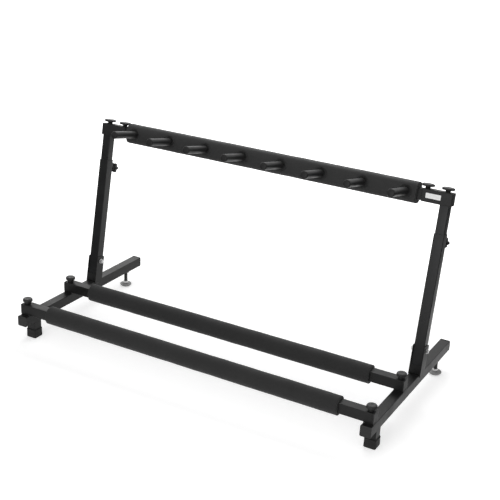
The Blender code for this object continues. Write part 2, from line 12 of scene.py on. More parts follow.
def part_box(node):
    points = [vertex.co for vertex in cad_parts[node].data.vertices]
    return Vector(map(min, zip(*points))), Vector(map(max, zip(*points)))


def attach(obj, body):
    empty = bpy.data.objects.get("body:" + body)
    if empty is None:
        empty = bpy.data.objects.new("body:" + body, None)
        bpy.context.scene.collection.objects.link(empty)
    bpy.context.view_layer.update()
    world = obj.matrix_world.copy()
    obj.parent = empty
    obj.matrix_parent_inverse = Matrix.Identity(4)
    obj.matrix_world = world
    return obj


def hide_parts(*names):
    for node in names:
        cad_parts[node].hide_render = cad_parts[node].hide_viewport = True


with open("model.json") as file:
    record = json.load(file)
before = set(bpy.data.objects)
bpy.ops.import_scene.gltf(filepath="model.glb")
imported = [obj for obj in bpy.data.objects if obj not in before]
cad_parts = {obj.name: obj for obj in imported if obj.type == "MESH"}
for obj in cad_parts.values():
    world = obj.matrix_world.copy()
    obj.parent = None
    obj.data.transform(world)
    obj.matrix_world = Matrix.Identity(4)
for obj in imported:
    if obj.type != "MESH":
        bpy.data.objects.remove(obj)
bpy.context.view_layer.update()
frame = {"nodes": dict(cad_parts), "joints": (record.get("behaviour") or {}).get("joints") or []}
JOINTS = {joint["name"]: joint for joint in frame["joints"]}
TURN = 2 * math.pi

# The photograph's camera
CAMERA_PLACE = Vector((1.1765, -2.1132, 1.2464))
CAMERA_FORWARD = Vector((-0.44139, 0.81861, -0.36748))
CAMERA_ROLL = math.radians(2.91)
CAMERA_LENS = 75.06

# The leaning frame's own axes: Z up along the uprights from the fold pivot
PIVOT = Vector(JOINTS["fold"]["pos_m"])
UPRIGHT = Vector(JOINTS["height"]["axis"]).normalized()
LEAN = math.atan2(UPRIGHT.y, UPRIGHT.z)
LEANING = Matrix.Translation(PIVOT) @ Matrix.Rotation(-LEAN, 4, "X")

# Sizes that the looks share with the solids. Gap is the clearance between neighbouring pieces.
# The bars' and the rail's sides are those of the tubes, and a hole's size holds the clearance.
GAP = 0.0003
LEG_X = JOINTS["level_right"]["pos_m"][0]
LEG_TOP = 0.072
BAR_Z = 0.0884
BAR_FRONT_Y = JOINTS["clamp_front_right_turn"]["pos_m"][1]
BAR_REAR_Y = JOINTS["clamp_rear_right_turn"]["pos_m"][1]
BAR_SIDE = 0.026
BAR_FOAM_HALF = 0.407
BAR_FOAM_RADIUS = 0.023
RAIL_UP = 0.369
RAIL_HEIGHT = 0.0274
RAIL_DEPTH = 0.0214
RAIL_FOAM_HALF = 0.412
RAIL_FOAM_HEIGHT = 0.0524
RAIL_FOAM_RISE = 0.001
RAIL_FOAM_DEPTH = 0.041
RAIL_FOAM_CORNER = 0.017
PEG_COUNT = 8
PEG_SPACING = 0.110
PEG_RAISE = 0.0015
PEG_TILT = math.radians(1.6)
PEG_HOLE = 0.0053
PEG_HOLE_END = 0.0985
PEG_FOAM_RADIUS = 0.00975
PEG_FOAM_START = 0.0108
PEG_FOAM_END = 0.105
FOOT_CAP_WIDTH = 0.0292
FOOT_CAP_LENGTH = 0.0297
FOOT_CAP_SOCKET = 0.0264
FOOT_CAP_FLOOR = 0.0047
BOLT_HEAD = 0.0052
BOLT_FLANGE = 0.0012
BOLT_FLATS = 0.0050
BOLT_HEXAGON_FROM = 0.0014
BOLT_SHANK = 0.0392

# Blank label on the right corner, by its place along the rail and out from the rail's axis
STICKER_WIDTH = 0.0370
STICKER_HEIGHT = 0.0120
STICKER_THICKNESS = 0.00018
STICKER_ALONG = 0.4523
STICKER_FRONT = 0.0130

# Studio: a paper strip under the rack on a darker floor, and the room's light
PAPER_HALF = 0.66
PAPER_FADE = 0.1
PAPER_SHADE = 0.80
FLOOR_SHADE = 0.08
FLOOR_LIFT = 0.5
LIFT_NEAR = 0.55
LIFT_FAR = 1.1
ROOM_DIM = 0.3
ROOM_BRIGHT = 0.85
ROOM_BRIGHT_SIDE = (0.2, -0.95, 0.2)


# Material nodes


class Nodes:
    """Short calls for building one material's nodes. Coordinates are in metres on the piece."""

    def __init__(self, name):
        self.material = bpy.data.materials.new(name)
        self.material.use_nodes = True
        self.tree = self.material.node_tree
        self.shader = self.tree.nodes["Principled BSDF"]
        self.place = self.tree.nodes.new("ShaderNodeTexCoord").outputs["Object"]

    def add(self, kind, inputs=None, **settings):
        node = self.tree.nodes.new(kind)
        for key, value in settings.items():
            setattr(node, key, value)
        for key, value in (inputs or {}).items():
            self.put(node.inputs[key], value)
        return node

    def put(self, socket, value):
        if isinstance(value, bpy.types.NodeSocket):
            self.tree.links.new(value, socket)
        else:
            socket.default_value = value

    def stretched(self, scale):
        return self.add("ShaderNodeMapping", {"Vector": self.place, "Scale": scale}).outputs[0]

    def noise(self, size, detail=3.0, place=None):
        """Noise whose features are about size metres across."""
        inputs = {"Vector": place or self.place, "Scale": 1 / size, "Detail": detail}
        return self.add("ShaderNodeTexNoise", inputs).outputs["Fac"]

    def cells(self, size, feature="F1"):
        inputs = {"Vector": self.place, "Scale": 1 / size}
        return self.add("ShaderNodeTexVoronoi", inputs, feature=feature).outputs["Distance"]

    def span(self, value, low, high, to_low=0.0, to_high=1.0):
        """Maps a value from one range to another, clamped at both ends."""
        inputs = {
            "Value": value,
            "From Min": low,
            "From Max": high,
            "To Min": to_low,
            "To Max": to_high,
        }
        return self.add("ShaderNodeMapRange", inputs).outputs["Result"]

    def math(self, operation, first, second):
        return self.add("ShaderNodeMath", {0: first, 1: second}, operation=operation).outputs[0]

    def mix(self, factor, first, second):
        node = self.add("ShaderNodeMix", data_type="RGBA")
        self.put(node.inputs["Factor"], factor)
        self.put(node.inputs["A"], first)
        self.put(node.inputs["B"], second)
        return node.outputs["Result"]

    def edges(self, low, high):
        """1 on sharp outer edges, where paint rubs thin, and 0 elsewhere."""
        pointed = self.tree.nodes.new("ShaderNodeNewGeometry").outputs["Pointiness"]
        return self.span(pointed, low, high)

    def bump(self, height, strength, distance, under=None):
        inputs = {"Height": height, "Strength": strength, "Distance": distance}
        node = self.add("ShaderNodeBump", inputs)
        if under is not None:
            self.put(node.inputs["Normal"], under)
        return node.outputs["Normal"]

    def finish(self, colour, roughness, normal, metallic=0.0, **sockets):
        self.put(self.shader.inputs["Base Color"], colour)
        self.put(self.shader.inputs["Roughness"], roughness)
        self.put(self.shader.inputs["Normal"], normal)
        self.shader.inputs["Metallic"].default_value = metallic
        for key, value in sockets.items():
            self.shader.inputs[key.replace("_", " ")].default_value = value
        return self.material


def grey(value, warmth=0.0):
    """A linear grey. Warmth moves it a little to red, or to blue where it is negative."""
    return (value * (1 + warmth), value, value * (1 - warmth), 1)


def powder_coat(name, shade, warmth, roughness):
    """Satin black powder coat: orange peel, fine grains, and a little rubbing on the edges."""
    n = Nodes(name)
    patches = n.noise(0.045, 4)
    grains = n.noise(0.0006, 2)
    body = n.mix(n.span(patches, 0.35, 0.65), grey(shade * 0.86, warmth), grey(shade * 1.14, warmth))
    speckled = n.mix(n.span(grains, 0.62, 0.78), body, grey(shade * 1.9, warmth))
    rubbed = n.math("MULTIPLY", n.edges(0.56, 0.66), n.span(n.noise(0.009, 5), 0.5, 0.68))
    colour = n.mix(rubbed, speckled, grey(shade * 3.6, warmth))
    peel = n.bump(n.noise(0.0017, 2), 0.35, 0.00006)
    normal = n.bump(grains, 0.45, 0.00003, under=peel)
    rough = n.span(patches, 0.3, 0.7, roughness - 0.05, roughness + 0.06)
    return n.finish(colour, rough, normal, Specular_IOR_Level=0.20)


def moulded_plastic(name, shade, roughness):
    """Nylon with a spark-eroded mould texture and a slight flow mottling."""
    n = Nodes(name)
    flow = n.noise(0.012, 4)
    texture = n.cells(0.0007)
    colour = n.mix(n.span(flow, 0.3, 0.7), grey(shade * 0.85), grey(shade * 1.2))
    edge = n.math("MULTIPLY", n.edges(0.55, 0.68), 0.6)
    colour = n.mix(edge, colour, grey(shade * 2.6))
    normal = n.bump(texture, 0.4, 0.00004)
    rough = n.span(flow, 0.3, 0.7, roughness - 0.04, roughness + 0.07)
    return n.finish(colour, rough, normal, Specular_IOR_Level=0.3)


def foam(name, shade, roughness, specular, sheen):
    """Closed-cell foam: a skin of fine pores with painted shade in their pits, soft tone changes, and
    paler specks on the fine ridges.
    """
    n = Nodes(name)
    tone = n.noise(0.035, 4)
    pores = n.cells(0.0011)
    fine = n.noise(0.00045, 3)
    colour = n.mix(n.span(tone, 0.3, 0.7), grey(shade * 0.84), grey(shade * 1.16))
    # Painted shade: darker in the pits of the pores, where the pore bump sinks in.
    colour = n.mix(n.span(pores, 0.12, 0.42), grey(shade * 0.55), colour)
    # Paler specks where the fine bump rises.
    colour = n.mix(n.span(fine, 0.6, 0.8), colour, grey(shade * 1.7))
    dents = n.bump(n.noise(0.014, 3), 0.25, 0.0006)
    skin = n.bump(pores, 0.55, 0.00012, under=dents)
    normal = n.bump(fine, 0.4, 0.00005, under=skin)
    rough = n.span(tone, 0.3, 0.7, roughness - 0.07, roughness + 0.07)
    return n.finish(
        colour,
        rough,
        normal,
        Specular_IOR_Level=specular,
        Sheen_Weight=sheen,
        Sheen_Roughness=0.5,
    )


def moulded_rubber(name, shade):
    """Matt rubber, mottled, paler in patches towards the floor, with fine moulded grain."""
    n = Nodes(name)
    rubber_mottle = n.noise(0.018, 5)
    grain = n.noise(0.0008, 3)
    height = n.add("ShaderNodeSeparateXYZ", {"Vector": n.place}).outputs["Z"]
    # Paler in patches over the lowest 12 mm, towards the floor.
    paler_near_floor = n.math("MULTIPLY", n.span(height, 0.012, 0.0, 0.0, 0.7), n.span(rubber_mottle, 0.35, 0.65))
    colour = n.mix(n.span(rubber_mottle, 0.3, 0.7), grey(shade * 0.8), grey(shade * 1.25))
    colour = n.mix(paler_near_floor, colour, grey(shade * 2.4, 0.04))
    normal = n.bump(grain, 0.5, 0.00008)
    rough = n.span(rubber_mottle, 0.3, 0.7, 0.62, 0.8)
    return n.finish(colour, rough, normal, Specular_IOR_Level=0.25)


def plated_steel(name, shade, roughness):
    """Zinc plate with faint turning marks, cloudy patches and dull specks."""
    n = Nodes(name)
    cloud = n.noise(0.006, 5)
    marks = n.noise(0.0012, 2, place=n.stretched((1, 1, 9)))
    specks = n.span(n.noise(0.0009, 2), 0.66, 0.74)
    colour = n.mix(n.span(cloud, 0.3, 0.7), grey(shade * 0.9, -0.01), grey(shade * 1.04, 0.008))
    colour = n.mix(specks, colour, grey(shade * 0.55, 0.03))
    normal = n.bump(marks, 0.25, 0.00003)
    rough = n.span(cloud, 0.3, 0.7, roughness - 0.05, roughness + 0.08)
    return n.finish(colour, rough, normal, metallic=1.0)


def blackened_steel(name):
    """Black-oxide threads with rubbed, brighter crests."""
    n = Nodes(name)
    oil = n.noise(0.004, 4)
    colour = n.mix(n.span(oil, 0.35, 0.65), grey(0.045, -0.03), grey(0.075, 0.02))
    colour = n.mix(n.math("MULTIPLY", n.edges(0.54, 0.62), 0.5), colour, grey(0.28))
    normal = n.bump(n.noise(0.0009, 3), 0.3, 0.00004)
    return n.finish(colour, n.span(oil, 0.3, 0.7, 0.3, 0.45), normal, metallic=1.0)


def blank_label(name):
    """White vinyl with nothing on it, a little grubby at random."""
    n = Nodes(name)
    grub = n.noise(0.006, 5)
    colour = n.mix(n.span(grub, 0.45, 0.8), grey(0.92, 0.004), grey(0.84, 0.015))
    normal = n.bump(n.noise(0.004, 3), 0.15, 0.0001)
    return n.finish(colour, n.span(grub, 0.3, 0.7, 0.3, 0.45), normal)


def weld_metal(name, shade):
    """A weld bead under the same powder coat, a shade glossier on its ripples."""
    n = Nodes(name)
    grains = n.noise(0.0007, 3)
    colour = n.mix(n.span(grains, 0.4, 0.7), grey(shade), grey(shade * 1.5))
    normal = n.bump(grains, 0.5, 0.00008)
    return n.finish(colour, n.span(grains, 0.3, 0.7, 0.34, 0.48), normal, IOR=1.48)


LEG_COAT = powder_coat("leg_powder_coat", 0.009, 0.0, 0.42)
TUBE_COAT = powder_coat("upright_powder_coat", 0.0105, -0.04, 0.32)
CORNER_COAT = powder_coat("corner_powder_coat", 0.015, 0.0, 0.45)
PLASTIC = moulded_plastic("moulded_nylon", 0.012, 0.42)
CAP_PLASTIC = moulded_plastic("end_cap_nylon", 0.012, 0.5)
BAR_FOAM = foam("bar_foam_skin", 0.0145, 0.80, 0.3, 0.12)
RAIL_FOAM = foam("rail_foam_skin", 0.028, 0.65, 0.22, 0.12)
PEG_FOAM = foam("peg_foam_skin", 0.019, 0.42, 0.14, 0.0)
GREY_NYLON = moulded_plastic("grey_nylon", 0.26, 0.45)
RUBBER = moulded_rubber("moulded_rubber", 0.011)
ZINC = plated_steel("zinc_plate", 0.56, 0.28)
DARK_STEEL = blackened_steel("black_oxide")
LABEL = blank_label("blank_vinyl")
WELD = weld_metal("coated_weld", 0.026)


# Mesh shapes


def skin(rings, around=True, along=False):
    """Quads between rings of points. Around closes each ring, along joins the last to the first."""
    shape = bmesh.new()
    rows = [[shape.verts.new(point) for point in ring] for ring in rings]
    count = len(rows[0])
    pairs = list(zip(rows, rows[1:]))
    if along:
        pairs.append((rows[-1], rows[0]))
    last = count if around else count - 1
    for row, following in pairs:
        for index in range(last):
            after = (index + 1) % count
            shape.faces.new((row[index], following[index], following[after], row[after]))
    bmesh.ops.remove_doubles(shape, verts=shape.verts, dist=0.000002)
    bmesh.ops.recalc_face_normals(shape, faces=shape.faces)
    mesh = bpy.data.meshes.new("skin")
    shape.to_mesh(mesh)
    shape.free()
    return mesh


def eased(points, radius, steps=4):
    """A line of 2D points whose inner corners are rounded off over about the given radius."""
    line = [Vector(points[0])]
    for before, corner, after in zip(points, points[1:], points[2:]):
        before, corner, after = Vector(before), Vector(corner), Vector(after)
        cut = min(radius, (before - corner).length / 2, (after - corner).length / 2)
        start = corner + (before - corner).normalized() * cut
        end = corner + (after - corner).normalized() * cut
        for step in range(steps + 1):
            t = step / steps
            line.append(start * (1 - t) ** 2 + corner * 2 * t * (1 - t) + end * t**2)
    line.append(Vector(points[-1]))
    return line


def turned(outline, steps=64, shaped=None):
    """An outline of (radius, height) points turned round Z. Shaped changes a radius by its angle."""
    rings = []
    for radius, height in outline:
        ring = []
        for step in range(steps):
            angle = TURN * step / steps
            reach = shaped(radius, height, angle) if shaped else radius
            ring.append(Vector((reach * math.cos(angle), reach * math.sin(angle), height)))
        rings.append(ring)
    return skin(rings)


def threaded(radius, bottom, top, pitch, steps=32):
    """A stud with a real helical thread, chamfered at both ends."""
    depth = pitch * 0.42
    count = max(8, round((top - bottom) / pitch * 6))
    rings = [[Vector((0, 0, bottom))] * steps]
    for row in range(count + 1):
        height = bottom + (top - bottom) * row / count
        ease = min(1, (height - bottom) / pitch, (top - height) / pitch)
        ring = []
        for step in range(steps):
            angle = TURN * step / steps
            phase = (height / pitch - step / steps) % 1
            groove = depth * abs(2 * phase - 1)
            reach = (radius - groove) * (0.86 + 0.14 * ease)
            ring.append(Vector((reach * math.cos(angle), reach * math.sin(angle), height)))
        rings.append(ring)
    rings.append([Vector((0, 0, top))] * steps)
    return skin(rings)


def rounded_rectangle(width, height, radius, steps=6):
    points = []
    for corner, (side_x, side_y) in enumerate(((1, 1), (-1, 1), (-1, -1), (1, -1))):
        for step in range(steps + 1):
            angle = math.pi / 2 * (corner + step / steps)
            x = side_x * (width / 2 - radius) + radius * math.cos(angle)
            y = side_y * (height / 2 - radius) + radius * math.sin(angle)
            points.append(Vector((x, y)))
    return points


def edge_of(outline, direction):
    """How far a closed outline around the origin reaches in a direction."""
    best = 0
    for start, end in zip(outline, outline[1:] + outline[:1]):
        along = end - start
        cross = direction.x * along.y - direction.y * along.x
        if abs(cross) < 1e-12:
            continue
        reach = (start.x * along.y - start.y * along.x) / cross
        share = (start.x * direction.y - start.y * direction.x) / cross
        if reach > best and -1e-6 <= share <= 1 + 1e-6:
            best = reach
    return best


def piece(name, mesh, look, body, matrix=None, smooth_under=50):
    """Adds a finished mesh that rides on a body."""
    mesh.materials.clear()
    mesh.materials.append(look)
    mesh.shade_smooth()
    mesh.set_sharp_from_angle(angle=math.radians(smooth_under))
    obj = bpy.data.objects.new(name, mesh)
    obj.matrix_world = matrix or Matrix.Identity(4)
    bpy.context.scene.collection.objects.link(obj)
    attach(obj, body)
    return obj


def on_joint(name):
    """A joint's place, with Z along its axis."""
    joint = JOINTS[name]
    turn = Vector((0, 0, 1)).rotation_difference(Vector(joint["axis"]))
    return Matrix.Translation(joint["pos_m"]) @ turn.to_matrix().to_4x4()


def both_sides():
    return (("left", -1), ("right", 1))


# Kept solids: better finishes, softened edges


def soften(node, width, segments=2):
    """Rounds a solid's hard edges and evens its shading, without touching its mesh."""
    weld = node.modifiers.new("Weld", "WELD")
    weld.merge_threshold = 0.00001
    bevel = node.modifiers.new("Bevel", "BEVEL")
    bevel.width = width
    bevel.segments = segments
    bevel.limit_method = "ANGLE"
    bevel.angle_limit = math.radians(50)
    bevel.use_clamp_overlap = True
    even = node.modifiers.new("Even", "WEIGHTED_NORMAL")
    even.keep_sharp = True
    even.weight = 90


def dress_solids():
    """Gives every kept solid its finish."""
    looks = (
        ("leg_cap", CAP_PLASTIC, 0.0004),
        ("leg_", LEG_COAT, 0.0004),
        ("bar_plug", CAP_PLASTIC, 0.0004),
        ("bar_", LEG_COAT, 0.0004),
        ("upright_plug", PLASTIC, 0.0003),
        ("upright_", TUBE_COAT, 0.0004),
        ("top_plug", PLASTIC, 0.0003),
        ("corner_", CORNER_COAT, 0.0005),
        ("rail", LEG_COAT, 0.0004),
        ("level_nut", DARK_STEEL, 0.0004),
        ("pivot_nut", ZINC, 0.0003),
    )
    for name, node in frame["nodes"].items():
        if node.hide_render:
            continue
        for prefix, look, width in looks:
            if name.startswith(prefix):
                for index in range(len(node.data.materials)):
                    node.data.materials[index] = look
                node.data.shade_smooth()
                soften(node, width)
                break


# Foam sleeves


def unevenness(point, size, amount):
    return noise.noise(point / size) * amount


def sleeve(outer, bore, half, spacing, dented=None):
    """A foam sleeve along X round a bar: an outer outline, a bore, and softly rounded ends.

    Each place is a point along X, with its share of the way from the bore to the outer outline.
    """
    steps = 72
    round_off = 0.0014
    end_steps = 5
    directions = [
        Vector((math.cos(TURN * step / steps), math.sin(TURN * step / steps)))
        for step in range(steps)
    ]
    reach = [edge_of(outer, direction) for direction in directions]
    hole = [edge_of(bore, direction) for direction in directions]
    first_end = [(-half, 0.0), (-half, 0.35), (-half + 0.0002, 0.75)]
    for step in range(1, end_steps):
        angle = math.pi / 2 * step / end_steps
        share = 1 - 0.08 * (1 - math.sin(angle))
        first_end.append((-half + round_off * (1 - math.cos(angle)), share))
    straight = half - round_off
    count = round(2 * straight / spacing)
    middle = [(-straight + 2 * straight * step / count, 1.0) for step in range(count + 1)]
    places = first_end + middle + [(-x, share) for x, share in reversed(first_end)]
    rings = []
    for x, share in places:
        ring = []
        for index, direction in enumerate(directions):
            distance = hole[index] + (reach[index] - hole[index]) * share
            point = Vector((x, direction.x * distance, direction.y * distance))
            if share > 0.5:
                lumps = unevenness(point, 0.05, 0.0004) + unevenness(point, 0.012, 0.00016)
                distance += lumps - 0.0002
            point = Vector((x, direction.x * distance, direction.y * distance))
            if dented and share > 0.5:
                point = dented(point)
            ring.append(point)
        rings.append(ring)
    return skin(rings, along=True)


def bar_sleeves():
    steps = 96
    outer = [
        Vector((math.cos(TURN * i / steps), math.sin(TURN * i / steps))) * BAR_FOAM_RADIUS
        for i in range(steps)
    ]
    bore = rounded_rectangle(BAR_SIDE + 2 * GAP, BAR_SIDE + 2 * GAP, 0.0018)
    for row, y in (("front", BAR_FRONT_Y), ("rear", BAR_REAR_Y)):
        mesh = sleeve(outer, bore, BAR_FOAM_HALF, 0.004)
        at = Matrix.Translation((0, y, BAR_Z))
        obj = piece(f"bar_sleeve_{row}", mesh, BAR_FOAM, "base", at)
        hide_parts(f"bar_foam_{row}")


def peg_axes():
    """Each peg's axis in the leaning frame: Z leaves the rail's front, tilted up a little."""
    tilted = Matrix.Rotation(math.pi / 2 - PEG_TILT, 4, "X")
    first = -PEG_SPACING * (PEG_COUNT - 1) / 2
    return [
        Matrix.Translation((first + PEG_SPACING * index, -RAIL_DEPTH / 2, RAIL_UP + PEG_RAISE)) @ tilted
        for index in range(PEG_COUNT)
    ]


def rail_sleeve():
    """The rail's foam, pressed in a little round each peg."""
    centres = [axis.translation.x for axis in peg_axes()]
    dent_depth, dent_radius = 0.0050, 0.0134
    rim_height, rim_radius, rim_width = 0.0006, 0.0165, 0.003

    def dented(point):
        """Y is the rail's depth here, with the pegs on its negative side."""
        front_only = -0.012
        if point.y > front_only:
            return point
        near = min(abs(point.x - centre) for centre in centres)
        away = math.hypot(near, point.z - PEG_RAISE)
        push = dent_depth / (1 + (away / dent_radius) ** 10)
        rim = rim_height * math.exp(-(((away - rim_radius) / rim_width) ** 2))
        return point + Vector((0, push - rim, 0))

    section = rounded_rectangle(RAIL_FOAM_DEPTH, RAIL_FOAM_HEIGHT, RAIL_FOAM_CORNER)
    outer = [point + Vector((0, RAIL_FOAM_RISE)) for point in section]
    bore = rounded_rectangle(RAIL_DEPTH + 2 * GAP, RAIL_HEIGHT + 2 * GAP, 0.0018)
    mesh = sleeve(outer, bore, RAIL_FOAM_HALF, 0.0022, dented)
    at = LEANING @ Matrix.Translation((0, 0, RAIL_UP))
    obj = piece("rail_sleeve", mesh, RAIL_FOAM, "head", at)
    cutters = []
    for axis in peg_axes():
        local = Matrix.Translation((0, 0, -RAIL_UP)) @ axis
        cutters.append(rod_cutter(at @ local))
    cut_away(obj, cutters)
    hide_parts("rail_foam")


def rod_cutter(matrix):
    """A rod with clearance round a peg, long enough to pass through the rail's foam."""
    length = 0.03
    middle = 0.008
    shape = bmesh.new()
    bmesh.ops.create_cone(
        shape, cap_ends=True, segments=24, radius1=PEG_HOLE, radius2=PEG_HOLE, depth=length
    )
    mesh = bpy.data.meshes.new("cutter")
    shape.to_mesh(mesh)
    shape.free()
    cutter = bpy.data.objects.new("cutter", mesh)
    cutter.matrix_world = matrix @ Matrix.Translation((0, 0, middle))
    bpy.context.scene.collection.objects.link(cutter)
    return cutter


def cut_away(obj, cutters):
    """Cuts the cutters out of a piece's mesh and removes them."""
    for cutter in cutters:
        modifier = obj.modifiers.new("Cut", "BOOLEAN")
        modifier.operation = "DIFFERENCE"
        modifier.solver = "EXACT"
        modifier.object = cutter
    bpy.context.view_layer.update()
    graph = bpy.context.evaluated_depsgraph_get()
    mesh = bpy.data.meshes.new_from_object(obj.evaluated_get(graph))
    obj.modifiers.clear()
    obj.data = mesh
    for cutter in cutters:
        bpy.data.objects.remove(cutter)


def peg_sleeves():
    """A closed-ended foam sleeve on each peg rod, uneven outside and true in its hole."""
    shoulder = 0.0028
    hole_rim = PEG_HOLE + GAP
    outline = [
        (0, PEG_FOAM_END),
        (0.0072, PEG_FOAM_END - 0.0003),
        (0.0084, PEG_FOAM_END - 0.0007),
        (0.0093, PEG_FOAM_END - 0.0015),
        (PEG_FOAM_RADIUS, PEG_FOAM_END - shoulder),
    ]
    rings = 24
    length = PEG_FOAM_END - shoulder - PEG_FOAM_START
    for step in range(1, rings):
        outline.append((PEG_FOAM_RADIUS, PEG_FOAM_END - shoulder - length * step / rings))
    outline += [
        (PEG_FOAM_RADIUS - 0.0001, PEG_FOAM_START + 0.0014),
        (PEG_FOAM_RADIUS - 0.0009, PEG_FOAM_START + 0.0003),
        (PEG_FOAM_RADIUS - 0.0022, PEG_FOAM_START),
        (PEG_HOLE, PEG_FOAM_START),
        (PEG_HOLE, PEG_HOLE_END),
        (0, PEG_HOLE_END),
    ]
    for number, axis in enumerate(peg_axes(), start=1):

        def uneven(radius, height, angle):
            if radius <= hole_rim:
                return radius
            spot = Vector((math.cos(angle) * 0.01, math.sin(angle) * 0.01, height + number))
            return radius + unevenness(spot, 0.02, 0.00025) - 0.0001

        mesh = turned(outline, steps=48, shaped=uneven)
        obj = piece(f"peg_sleeve_{number}", mesh, PEG_FOAM, "head", LEANING @ axis)
        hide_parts(f"peg_foam_{number}")


# Knobs


def ribbed(count, depth, low, high, inner):
    """Grip ribs between two heights, on whatever stands out past the inner radius."""

    def shaped(radius, height, angle):
        if radius < inner or not low <= height <= high:
            return radius
        return radius - depth * (0.5 - 0.5 * math.cos(count * angle)) ** 2

    return shaped


def clamp_knobs():
    """Round knobs on a neck that clamp the bars to the legs."""
    outline = eased(
        [
            (0, 0.0137),
            (0.0050, 0.0137),
            (0.0058, 0.0142),
            (0.0090, 0.0142),
            (0.0112, 0.0135),
            (0.0124, 0.0118),
            (0.0126, 0.0094),
            (0.0126, 0.0076),
            (0.0119, 0.0065),
            (0.0084, 0.0060),
            (0.0080, 0.0010),
            (0.0082, 0.0001),
            (0, 0.0001),
        ],
        0.0008,
    )
    grip = ribbed(count=22, depth=0.0006, low=0.0062, high=0.0132, inner=0.0115)
    for row in ("front", "rear"):
        for side, _ in both_sides():
            at = on_joint(f"clamp_{row}_{side}_turn")
            body = f"clamp_{row}_{side}"
            mesh = turned(outline, steps=132, shaped=grip)
            knob = piece(f"clamp_grip_{row}_{side}", mesh, PLASTIC, body, at)
            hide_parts(f"clamp_knob_{row}_{side}")
            stud = threaded(radius=0.004, bottom=-0.043, top=0.0002, pitch=0.00125)
            piece(f"clamp_stud_{row}_{side}", stud, ZINC, body, at)


def height_knobs():
    """Six-lobed knobs behind the uprights, on plated studs. Z is out of the upright's back."""
    outline = eased(
        [
            (0, 0.0417),
            (0.0048, 0.0417),
            (0.0056, 0.0421),
            (0.0110, 0.0420),
            (0.0142, 0.0400),
            (0.0142, 0.0335),
            (0.0118, 0.0310),
            (0.0074, 0.0306),
            (0.0070, 0.0252),
            (0, 0.0250),
        ],
        0.0014,
        steps=5,
    )
    neck, rim = 0.0074, 0.0142
    lobes = 6
    hollow = 0.0034

    def lobed(radius, height, angle):
        outward = max(0.0, min(1.0, (radius - neck) / (rim - neck)))
        return radius - hollow * outward * (0.5 - 0.5 * math.cos(lobes * angle)) ** 1.3

    for side, _ in both_sides():
        at = on_joint(f"height_lock_{side}_turn")
        body = f"height_lock_{side}"
        mesh = turned(outline, steps=144, shaped=lobed)
        knob = piece(f"height_grip_{side}", mesh, PLASTIC, body, at)
        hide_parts(f"height_knob_{side}")
        stud = threaded(radius=0.003, bottom=0.011, top=0.0256, pitch=0.001)
        piece(f"height_stud_{side}", stud, ZINC, body, at)


def top_knobs():
    """Broad knobs on the corner sleeves."""
    outline = eased(
        [
            (0, 0.0108),
            (0.0030, 0.0108),
            (0.0052, 0.0112),
            (0.0134, 0.0112),
            (0.0153, 0.0101),
            (0.0156, 0.0086),
            (0.0156, 0.0070),
            (0.0148, 0.0057),
            (0.0090, 0.0050),
            (0.0064, 0.0036),
            (0.0057, 0.0012),
            (0.0060, 0.0001),
            (0, 0.0001),
        ],
        0.0009,
    )
    grip = ribbed(count=28, depth=0.00045, low=0.0054, high=0.0106, inner=0.0138)
    for place, reach in (("corner", 0.0155), ("rail", 0.011)):
        for side, _ in both_sides():
            at = on_joint(f"{place}_lock_{side}_turn")
            body = f"{place}_lock_{side}"
            mesh = turned(outline, steps=168, shaped=grip)
            knob = piece(f"{place}_grip_{side}", mesh, PLASTIC, body, at)
            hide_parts(f"{place}_knob_{side}")
            stud = threaded(radius=0.003, bottom=-reach, top=0.0002, pitch=0.001)
            piece(f"{place}_stud_{side}", stud, ZINC, body, at)


# Feet


def levelling_feet():
    """Thick grey discs with a plated collar, on black threaded studs."""
    outline = eased(
        [
            (0, 0.0047),
            (0.0053, 0.0047),
            (0.0053, 0.0082),
            (0.0090, 0.0082),
            (0.0130, 0.0078),
            (0.0165, 0.0064),
            (0.0165, 0.0040),
            (0.0125, 0.0000),
            (0, 0.0000),
        ],
        0.0010,
    )
    collar = eased(
        [(0.0053, 0.0074), (0.0053, 0.0146), (0.0064, 0.0146), (0.0072, 0.0136), (0.0072, 0.0074)],
        0.0005,
    )
    for side, _ in both_sides():
        at = on_joint(f"level_{side}")
        body = f"level_foot_{side}"
        mesh = turned(outline, steps=96)
        disc = piece(f"foot_disc_{side}", mesh, GREY_NYLON, body, at)
        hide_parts(f"level_disc_{side}")
        ring = turned([*collar, collar[0]], steps=96)
        piece(f"foot_collar_{side}", ring, ZINC, body, at)
        mesh = threaded(radius=0.005, bottom=0.005, top=0.064, pitch=0.0015, steps=40)
        stud = piece(f"foot_stud_{side}", mesh, DARK_STEEL, body, at)
        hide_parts(f"level_stud_{side}")


def foot_caps():
    """Moulded rubber caps on the front posts: a lip round the socket, a groove and a broader sole.

    Each level is a height, with how much the outline grows there.
    """
    levels = [
        (0.0, -0.0034),
        (0.0003, -0.0018),
        (0.0012, -0.0002),
        (0.0026, 0.0006),
        (0.0046, 0.0006),
        (0.0051, 0.0000),
        (0.0060, 0.0000),
        (0.0065, 0.0005),
        (0.0120, 0.0001),
        (0.0192, -0.0004),
        (0.0198, 0.0002),
        (0.0226, 0.0002),
        (0.0234, -0.0003),
        (0.0235, -0.0009),
    ]
    rings = []
    for height, grow in levels:
        outline = rounded_rectangle(FOOT_CAP_WIDTH + grow, FOOT_CAP_LENGTH + grow, 0.0034)
        rings.append([Vector((point.x, point.y, height)) for point in outline])
    socket = rounded_rectangle(FOOT_CAP_SOCKET, FOOT_CAP_SOCKET, 0.0008)
    for height in (levels[-1][0], FOOT_CAP_FLOOR):
        rings.append([Vector((point.x, point.y, height)) for point in socket])
    bottom = [Vector((0, 0, 0))] * len(socket)
    inside = [Vector((0, 0, FOOT_CAP_FLOOR))] * len(socket)
    for side, sign in both_sides():
        low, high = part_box(f"foot_cap_{side}")
        middle = (low + high) / 2
        mesh = skin([bottom, *rings, inside])
        at = Matrix.Translation((sign * LEG_X, middle.y, 0))
        cap = piece(f"rubber_cap_{side}", mesh, RUBBER, "base", at)
        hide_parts(f"foot_cap_{side}")


# Fold pivots


